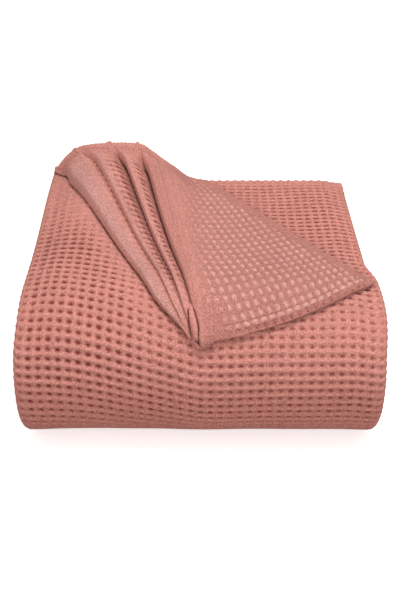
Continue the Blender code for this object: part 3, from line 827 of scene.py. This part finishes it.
def fanWeave(whole, shares, isFlap, alongHem, away):
    # the weave's coordinates. The cloth is gathered at the crest, so its ribs stand closer together there
    across, lengthWay = lengthsAlong(whole[corner["steps"]]), lengthsAlong(whole[:, corner["measuredLine"]])
    closer = np.where(shares > corner["humpFrom"], corner["overHump"], corner["gathered"])
    onPleats = np.stack(np.broadcast_arrays(across[None, :] * closer[:, :1], lengthWay[:, None] * closer[:, 1:]), -1)
    hem = corner["hemWidth"]
    rowsIn = np.where(away < hem, away / (hem / 2), 2.0 + (away - hem) / corner["rowsApart"])   # two rows in the hem
    onFlap = np.stack([carriedOver(rowsIn), carriedOver(alongHem) / pitchAlong], -1)
    return np.where(isFlap[..., None], onFlap, onPleats / pitchAlong)


def buildLooseCorner():
    table = cornerTable()
    pleatRows = len(corner["pleats"])
    wanted = fanLines(table)
    share = np.linspace(0.0, 1.0, corner["steps"] + 1)
    x, s, height, lines = cornerGrid(table, wanted, share)
    # the fan's lower end is rounded off down to the pile
    low = corner["hemGap"] + corner["sheet"] / 2
    nose = np.clip(share / corner["noseShare"], 0.0, 1.0)[:, None]
    height = low + (height - low) * np.sqrt(1.0 - (1.0 - nose) ** 2)
    # the hems are thicker, with a groove where the lower one is stitched
    alongHem, away, fromEdge = placesOnFlap(x, s)
    hem = corner["hemWidth"]
    inHem, inEdge = (1.0 - ease(reach, hem - 0.001, hem + 0.001) for reach in (away, fromEdge))
    onFlap = ease(wanted, pleatRows - 1.0, pleatRows + 1.0)
    groove = np.exp(-((away - hem - stitch["beside"]) / corner["grooveWidth"]) ** 2)
    height = height + onFlap * ease(share, *corner["hemShares"])[:, None] * (
        corner["hemLift"] * np.maximum(inHem, inEdge) - corner["stitchGroove"] * groove)
    middle = pilePlace(x, s, height)
    whole = overHump(middle)
    shares = np.concatenate([share, np.ones(corner["overSteps"])])[:, None]
    isFlap = onFlap[None, :] > 0.5
    cells = fanWeave(whole, shares, isFlap, alongHem, away)
    sharp = mix(np.where(isFlap, corner["dotSharp"], corner["ribSharp"]), corner["padSharp"],
                carriedOver(inHem) * isFlap)
    # ribs down in the folds and over the hump; dots on the flap's reverse side
    ribShare, dotShare, darkness = lines[:, 10:13].T
    fromTip = ease(shares, *corner["patternShares"])
    onHump = corner["humpRibs"] * ease(shares, *corner["humpShares"]) * (1.0 - onFlap)
    onHump = onHump * (1.0 - ease(darkness, *corner["plainFolds"]))
    inFolds = ribShare * fromTip * (1.0 - ease(shares, *corner["foldShares"]))
    ribs = np.where(shares > corner["humpFrom"], onHump, inFolds)
    dots = dotShare * fromTip * (1.0 - corner["plainEdge"] * carriedOver(inEdge))
    dots = np.where(carriedOver(away) < hem / 2, -corner["edgePits"] * dots, dots)
    depths = pocketDepths(cells, corner["ribDepth"], 7) * ribs - pocketDepths(cells, corner["dotHeight"], 8) * dots
    # painted light: painted shade down in the folds and painted sheen and shade on their crowns, painted light and
    # shade in streaks along the pleats, and painted shade on the flap, the cloth's reverse side
    shade = np.clip(darkness, -1.0, 1.0) * (1.0 - corner["paler"] * ease(shares, *corner["paleShares"]))
    shade = shade * ease(shares, *corner["shadeShares"])
    first, second = (np.sin(wanted * often) for often in corner["streakWaves"])
    shade = shade + corner["streaks"] * first * second * fromTip * (1.0 - onFlap)
    shade = mix(shade, mix(*corner["reverse"], ease(wanted, pleatRows, len(table) - 3.0)), onFlap)
    normals = gridNormals(whole)
    reaches = (corner["sheet"] / 2, corner["sheet"] / 2 + np.maximum(0.0, depths)[..., None])
    fan = fanMesh(whole, normals, reaches, wanted <= pleatRows + 2.0 + 1e-6, (cells, depths, shade, sharp))
    pleatEdge, hemEdge = middle[4::2, int(np.argmin(np.abs(wanted - 1.0)))], middle[16::2, -1]
    darkenUnder(outerPly, (pleatEdge, hemEdge), corner["shadeReach"], corner["shadeAmount"])
    return fan, hemLine(middle, normals, away)


def darkenUnder(piece, edges, reach, amount):
    # the deep shade that gathers under an edge of cloth that rests on another
    mesh = piece.data
    places = np.zeros(3 * len(mesh.vertices))
    mesh.vertices.foreach_get("co", places)
    places = places.reshape(-1, 3)
    nearest = np.full(len(places), 1.0)
    for edge in edges:
        for point in edge:
            nearest = np.minimum(nearest, np.linalg.norm(places - point, axis=1))
    shade = mesh.attributes["shade"]
    values = np.zeros(len(places))
    shade.data.foreach_get("value", values)
    added = amount * (1.0 - ease(nearest, *reach))
    shade.data.foreach_set("value", np.where(added > 0.0, np.maximum(values, added), values).astype(np.float32))


def hemLine(middle, normals, away):
    # places and normals along the hem's seam, one for each row of the flap that reaches it
    seam = []
    width = corner["hemWidth"] + stitch["beside"]
    for row in range(corner["seamFrom"], len(middle)):
        past = np.flatnonzero(away[row] > width)
        if len(past) and past[-1] + 1 < away.shape[1]:
            near, far = past[-1], past[-1] + 1
            share = (away[row, near] - width) / (away[row, near] - away[row, far])
            up = mix(normals[row, near], normals[row, far], share)
            up = up / np.linalg.norm(up) * (1.0 if up[2] > 0 else -1.0)
            seam.append(np.concatenate([mix(middle[row, near], middle[row, far], share), up]))
    return np.array(seam)


def fanMesh(whole, normals, reaches, overLine, values):
    # the fan as a closed sheet: a fine top skin and a coarse underside, joined round the edge
    rows, columns = whole.shape[:2]
    steps = corner["steps"]
    stepRow, stepColumn = corner["coarse"]
    if normals[steps // 2, columns - 20, 2] < 0:   # a place well inside the flap, where the way out is up
        normals = -normals
    skins = (whole + reaches[0] * normals, whole - reaches[1] * normals)
    points, numbers = [], [{}, {}]
    lastOver = int(np.flatnonzero(overLine)[-1])
    lastOver -= lastOver % stepColumn
    lastRow, lastFlapRow, lastColumn = rows - 1, steps, columns - 1
    lastRow -= lastRow % stepRow
    lastFlapRow -= lastFlapRow % stepRow
    rowEnd = [lastRow if column <= lastOver else lastFlapRow for column in range(columns)]
    coarseColumns = sorted(set(range(0, lastColumn + 1, stepColumn)) | {lastColumn})
    coarseRows = list(range(0, lastRow + 1, stepRow))

    def number(side, row, column):
        index = numbers[side]
        if (row, column) not in index:
            index[row, column] = len(points)
            cell, depth, shade, sharp = (part[row, column] for part in values)
            points.append((skins[side][row, column], cell, depth if side == 0 else 0.0, shade, sharp))
        return index[row, column]

    faces, edges = [], {}
    for column in range(lastColumn):
        end = min(rowEnd[column], rowEnd[column + 1])
        for row in range(end):
            faces.append([number(0, row, column), number(0, row, column + 1), number(0, row + 1, column + 1),
                          number(0, row + 1, column)])
    for first, last in zip(coarseColumns, coarseColumns[1:]):
        end = min(rowEnd[first], rowEnd[last])
        for near, far in zip(coarseRows, coarseRows[1:]):
            if far <= end:
                loop = [(near, first), (near, last), (far, last), (far, first)]
                faces.append([number(1, r, c) for r, c in reversed(loop)])
                for a, b in zip(loop, loop[1:] + loop[:1]):
                    if edges.pop((b, a), None) is None:
                        edges[a, b] = True
    for (rowA, columnA), (rowB, columnB) in edges:
        count = max(abs(rowB - rowA), abs(columnB - columnA))
        between = [(rowA + (rowB - rowA) * i // count, columnA + (columnB - columnA) * i // count)
                   for i in range(count + 1)]
        faces.append([number(0, r, c) for r, c in reversed(between)]
                     + [number(1, rowA, columnA), number(1, rowB, columnB)])
    return pressWaffle(meshObject("looseCorner", points, faces))


looseCorner, seamLine = buildLooseCorner()
print("loose corner: %d faces" % len(looseCorner.data.polygons))


tipRolls = {
    # each roll's radius, and its middle line: x, length along the cloth and height above the pile; all in mm
    "rolls": (
        (2.6, ((-21.2, 289.7, 5.0), (-16.2, 297.3, 4.5), (-11.3, 304.8, 4.0), (-6.4, 312.8, 3.5), (-0.5, 317.0, 3.0),
               (4.4, 315.5, 3.0), (9.3, 312.1, 3.0))),
        (4.6, ((-9.7, 276.0, 7.0), (-8.0, 286.0, 11.0), (-6.0, 297.0, 12.0), (-4.0, 304.9, 10.5), (-2.6, 311.3, 7.0))),
    ),
    "steps": 60, "sides": 16, "cells": (1.6, 6.0),        # points along and round a roll, and cells round and along
    "shadeReach": (0.0052, 0.0070), "shadeAmount": 0.9,   # the painted shadow line round the inner roll
}


def buildTipRolls():
    # the cloth is rolled round the fan's lower end: two nested folds, the outer one first
    points, faces = [], []
    steps, sides = tipRolls["steps"], tipRolls["sides"]
    share = np.linspace(0.0, 1.0, steps + 1)
    for radius, places in tipRolls["rolls"]:
        places = np.array(places) / 1000
        x, s, height = throughPoints(np.linspace(0.0, 1.0, len(places)), places, share).T
        line = pilePlace(x, s, height)
        up = line - pilePlace(x, s, 0.0 * height)
        way = np.gradient(line, axis=0)
        way /= np.linalg.norm(way, axis=1, keepdims=True)
        beside = np.cross(way, up)
        beside /= np.linalg.norm(beside, axis=1, keepdims=True)
        up = np.cross(beside, way)
        reach = lengthsAlong(line)
        fromEnd = np.clip(1000 * np.minimum(reach, reach[-1] - reach) / radius, 0.02, 1.0)
        size = radius / 1000 * np.sqrt(1.0 - (1.0 - fromEnd) ** 2)
        first = len(points)
        for row in range(steps + 1):
            for side in range(sides):
                turn = 2 * math.pi * side / sides
                place = line[row] + size[row] * (math.cos(turn) * beside[row] + math.sin(turn) * up[row])
                cell = (side / sides * tipRolls["cells"][0], share[row] * tipRolls["cells"][1])
                points.append((place, cell, 0.0, 0.0, 1.0))
        for row in range(steps):
            for side in range(sides):
                near, far = first + row * sides, first + (row + 1) * sides
                after = (side + 1) % sides
                faces.append((near + side, far + side, far + after, near + after))
        faces.append(tuple(first + side for side in range(sides)))
        faces.append(tuple(first + steps * sides + side for side in reversed(range(sides))))
    darkenUnder(looseCorner, (line[steps // 4:],), tipRolls["shadeReach"], tipRolls["shadeAmount"])
    return pressWaffle(meshObject("tipRolls", points, faces))


tipFolds = buildTipRolls()
print("tip rolls: %d faces" % len(tipFolds.data.polygons))


def makeThread(name):
    # Cotton sewing thread, dyed like the cloth but a little darker all over: matt.
    return plainMaterial(name, {"Base Color": hexColour(stitch["thread"]), "Roughness": 0.85,
                                "Specular IOR Level": 0.15})


def stitchTree():
    # Geometry Nodes: one short thread on each point, turned along the seam
    tree, given = startTree("hemStitch", (("Size", "Vector"),))
    way, up = (addNode(tree, "GeometryNodeInputNamedAttribute", {"data_type": "FLOAT_VECTOR", "in:Name": label})
               .outputs["Attribute"] for label in ("way", "up"))
    ball = addNode(tree, "GeometryNodeMeshUVSphere", {"in:Segments": 10, "in:Rings": 8, "in:Radius": 0.5})
    thread = addNode(tree, "GeometryNodeTransform", links={"Geometry": ball.outputs["Mesh"], "Scale": given["Size"]})
    turned = addNode(tree, "FunctionNodeAlignRotationToVector", {"axis": "X"}, {"Vector": way})
    level = addNode(tree, "FunctionNodeAlignRotationToVector", {"axis": "Z", "pivot_axis": "X"},
                    {"Rotation": turned.outputs[0], "Vector": up})
    put = addNode(tree, "GeometryNodeInstanceOnPoints", links={
        "Points": given["Geometry"], "Instance": thread.outputs["Geometry"], "Rotation": level.outputs[0]})
    return endTree(tree, given, put.outputs[0])


def buildHemStitches():
    # a running stitch that holds the hem, sunk a little into its groove
    reach = lengthsAlong(seamLine[:, :3])
    wanted = np.arange(stitch["pitch"], reach[-1] - stitch["fromEnd"], stitch["pitch"])
    place, up = (np.stack([np.interp(wanted, reach, column) for column in part.T], 1)
                 for part in (seamLine[:, :3], seamLine[:, 3:]))
    points = place + up * stitch["above"]
    mesh = bpy.data.meshes.new("hemStitches")
    mesh.from_pydata([tuple(point) for point in points], [], [])
    addAttributes(mesh, (("way", "FLOAT_VECTOR", np.gradient(points, axis=0)), ("up", "FLOAT_VECTOR", up)))
    piece = newObject("hemStitches", mesh)
    applyTree(piece, stitchTree(), {"Size": stitch["size"], "Cloth": makeThread("hemThread")})
    piece.data.shade_smooth()
    return piece


hemStitches = buildHemStitches()
print("hem stitches: %d faces" % len(hemStitches.data.polygons))

pieces = [outerPly, innerLayers, looseCorner, tipFolds, hemStitches]
for piece in pieces:
    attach(piece, "root")
    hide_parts("blanket")

studio = {
    "floor": "#FFFFFF", "floorGlow": 0.565, "floorSize": 6.0,
    "world": "#FFF0EC", "low": "#FFB9A6", "worldStrength": 0.75, "worldLow": 0.20,   # above, and below the floor
    "worldFrom": (-0.15, 0.25),                                                      # from where to where it changes
    "keyPlace": (0.20, -0.25, 1.30), "keySize": 0.30, "keyPower": 8.0,
    "fillPlace": (0.05, -1.6, 0.50), "fillSize": 0.5, "fillPower": 9.5, "aim": (0.0, 0.0, 0.08),
    "camera": (0.0, -0.830, 0.593), "tilt": 59.0, "lens": 50.0, "sensor": 36.0,
}


def makeFloor():
    mesh = bpy.data.meshes.new("floor")
    size = studio["floorSize"]
    mesh.from_pydata([(-size, -size, 0), (size, -size, 0), (size, size, 0), (-size, size, 0)], [], [(0, 1, 2, 3)])
    # A painted board, pale and matt, that glows a little so that it looks as pale as a lit studio floor.
    mesh.materials.append(plainMaterial("paleFloor", {
        "Base Color": hexColour(studio["floor"]), "Roughness": 0.35,
        "Emission Color": hexColour(studio["floor"]), "Emission Strength": studio["floorGlow"]}))
    floor = newObject("floor", mesh)
    floor.visible_diffuse = False   # its bounced light would wash out the front's pits


def addLight(name, place, size, power):
    light = bpy.data.lights.new(name, "AREA")
    light.size, light.energy = size, power
    lamp = newObject(name, light)
    lamp.location = place
    way = np.array(studio["aim"]) - np.array(place)
    lamp.rotation_euler = (math.atan2(math.hypot(way[0], way[1]), -way[2]), 0.0, math.atan2(-way[0], way[1]))


def makeWorld():
    # soft light from above the floor and hardly any from below; past the floor's edge the backdrop looks as pale as it
    world = bpy.data.worlds.new("studio")
    world.use_nodes = True
    tree = world.node_tree
    way = addNode(tree, "ShaderNodeTexCoord").outputs["Generated"]
    height = addNode(tree, "ShaderNodeSeparateXYZ", links={0: way}).outputs[2]
    seen = addNode(tree, "ShaderNodeLightPath").outputs["Is Camera Ray"]
    start, end = studio["worldFrom"]
    level, above = (addNode(tree, "ShaderNodeMapRange", {"in:From Min": start, "in:From Max": end,
                                                         "in:To Min": low, "in:To Max": high},
                            {"Value": height}).outputs["Result"]
                    for low, high in ((studio["worldLow"], studio["worldStrength"]), (0.0, 1.0)))
    strength = addNode(tree, "ShaderNodeMath", {"operation": "MAXIMUM"}, {0: level, 1: seen})
    tint = addNode(tree, "ShaderNodeMix", {"data_type": "RGBA", 6: hexColour(studio["low"]),
                                           7: hexColour(studio["world"])}, {0: above})
    colour = addNode(tree, "ShaderNodeMix", {"data_type": "RGBA", 7: hexColour(studio["floor"])},
                     {0: seen, 6: tint.outputs[2]})
    backdrop = tree.nodes["Background"]
    tree.links.new(strength.outputs[0], backdrop.inputs["Strength"])
    tree.links.new(colour.outputs[2], backdrop.inputs["Color"])
    bpy.context.scene.world = world


def addCamera():
    lens = bpy.data.cameras.new("camera")
    lens.lens, lens.sensor_width = studio["lens"], studio["sensor"]
    camera = newObject("camera", lens)
    camera.location = studio["camera"]
    camera.rotation_euler = (math.radians(studio["tilt"]), 0.0, 0.0)
    bpy.context.scene.camera = camera


makeFloor()
addLight("key", studio["keyPlace"], studio["keySize"], studio["keyPower"])
addLight("fill", studio["fillPlace"], studio["fillSize"], studio["fillPower"])
makeWorld()
addCamera()
bpy.context.scene.view_settings.view_transform = "Standard"
print("floor, lights and camera are in place")

bpy.context.view_layer.update()
